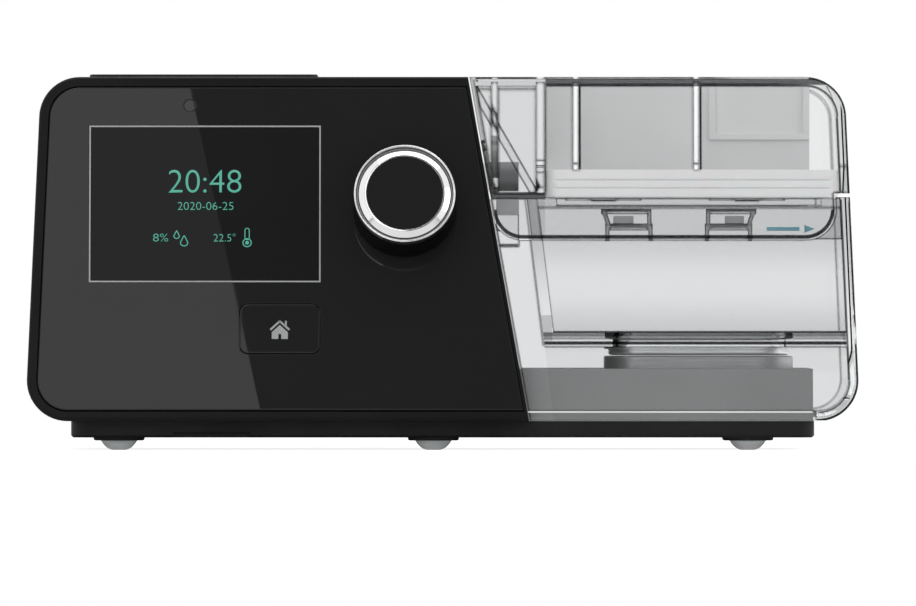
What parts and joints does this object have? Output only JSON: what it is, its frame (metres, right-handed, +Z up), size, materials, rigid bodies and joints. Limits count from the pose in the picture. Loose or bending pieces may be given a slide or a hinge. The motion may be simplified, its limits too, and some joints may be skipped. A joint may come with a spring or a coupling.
{
  "type": "cpap machine",
  "caption": "Bedside breathing-therapy machine: black main unit with a tilted glossy panel, display, press knob and key, beside a clear water chamber with a hinged lid.",
  "frame": {"origin": "centre of the footprint box, on the surface that the feet stand on", "axes": "+X to the right as seen from the front, towards the water chamber; -Y is the front with the display and the knob; +Z is up"},
  "size_m": [0.265, 0.194, 0.1201],
  "materials": {
    "casing_black": "satin",
    "panel_gloss": "polished",
    "display_trim": "satin",
    "display_glass": "polished",
    "display_panel": "satin",
    "knob_chrome": "polished",
    "steel": "satin",
    "contact_metal": "satin",
    "board": "satin",
    "switch_plastic": "matte",
    "soft_grey": "matte",
    "soft_dark": "matte",
    "inner_plastic": "matte",
    "outlet_plastic": "satin",
    "foam": "matte",
    "filter_felt": "matte",
    "card_blue": "satin",
    "housing_grey": "satin",
    "heater_metal": "satin",
    "dish_metal": "satin",
    "clear_plastic": "polished",
    "frosted_plastic": "satin",
    "seal_pale": "matte",
    "mark_teal": "matte"
  },
  "bodies": {
    "main_unit": {"main_casing": "casing_black", "rear_panel": "casing_black", "rear_screws": "steel", "top_cover": "casing_black", "front_panel": "panel_gloss", "display_frame": "display_trim", "display_window": "display_glass", "lcd_module": "display_panel", "light_sensor_lens": "panel_gloss", "home_switch": "switch_plastic", "control_board": "board", "encoder_body": "steel", "base_tray": "casing_black", "base_screws": "steel", "foot_cups": "soft_dark", "foot_pads": "soft_grey", "main_board": "board", "inner_chassis": "inner_plastic", "blower_mounts": "soft_grey", "blower_base": "inner_plastic", "blower_cover": "inner_plastic", "blower_motor": "steel", "air_duct": "inner_plastic", "return_duct": "inner_plastic", "outlet_port": "outlet_plastic", "port_seals": "soft_dark", "intake_box": "inner_plastic", "silencer_foam": "foam", "air_filter": "filter_felt", "flow_sensor": "switch_plastic", "dc_inlet": "switch_plastic", "comm_port": "steel", "sd_socket": "steel", "heater_housing": "housing_grey", "heater_plate": "heater_metal", "heater_element": "steel"},
    "home_key": {"home_button": "panel_gloss"},
    "knob_rotor": {"encoder_rotor": "contact_metal"},
    "knob": {"knob_skirt": "panel_gloss", "knob_ring": "knob_chrome", "knob_cap": "panel_gloss", "knob_shaft": "steel"},
    "blower_wheel": {"impeller": "inner_plastic"},
    "filter_door": {"filter_cover": "casing_black"},
    "flap": {"port_flap": "casing_black"},
    "card": {"sd_card": "card_blue"},
    "chamber": {"tank_shell": "clear_plastic", "tank_stop": "soft_dark", "tank_dish": "dish_metal", "tank_clips": "clear_plastic", "clip_pads": "soft_dark", "level_mark": "mark_teal", "hinge_pins": "steel"},
    "lid": {"lid_shell": "clear_plastic", "lid_ports": "soft_dark", "lid_baffle": "frosted_plastic", "lid_seal": "seal_pale"}
  },
  "joints": [
    {"name": "knob_turn", "type": "hinge", "parent": "main_unit", "child": "knob_rotor", "pos_m": [-0.0121, -0.07665, 0.0772], "axis": [0, -0.9563, 0.2924], "continuous": true},
    {"name": "knob_press", "type": "slide", "parent": "knob_rotor", "child": "knob", "axis": [0, 0.9563, -0.2924], "range_m": [0, 0.0008], "stiffness_N_per_m": 600, "springref_m": -0.001},
    {"name": "home_press", "type": "slide", "parent": "main_unit", "child": "home_key", "axis": [0, 0.9563, -0.2924], "range_m": [0, 0.0006], "stiffness_N_per_m": 500, "springref_m": -0.0008},
    {"name": "impeller_spin", "type": "hinge", "parent": "main_unit", "child": "blower_wheel", "pos_m": [-0.0725, 0.008, 0.044], "axis": [0, 0, 1], "continuous": true},
    {"name": "filter_door_hinge", "type": "hinge", "parent": "main_unit", "child": "filter_door", "pos_m": [-0.089, 0.0819, 0.0631], "axis": [-1, 0, 0], "range_deg": [0, 90]},
    {"name": "flap_hinge", "type": "hinge", "parent": "main_unit", "child": "flap", "pos_m": [-0.0622, 0.0822, 0.0247], "axis": [1, 0, 0], "range_deg": [0, 100]},
    {"name": "card_slide", "type": "slide", "parent": "main_unit", "child": "card", "axis": [-1, 0, 0], "range_m": [0, 0.024]},
    {"name": "chamber_slide", "type": "slide", "parent": "main_unit", "child": "chamber", "axis": [1, 0, 0], "range_m": [0, 0.11]},
    {"name": "lid_hinge", "type": "hinge", "parent": "chamber", "child": "lid", "pos_m": [0.0821, 0.0862, 0.082], "axis": [-1, 0, 0], "range_deg": [0, 100]}
  ]
}
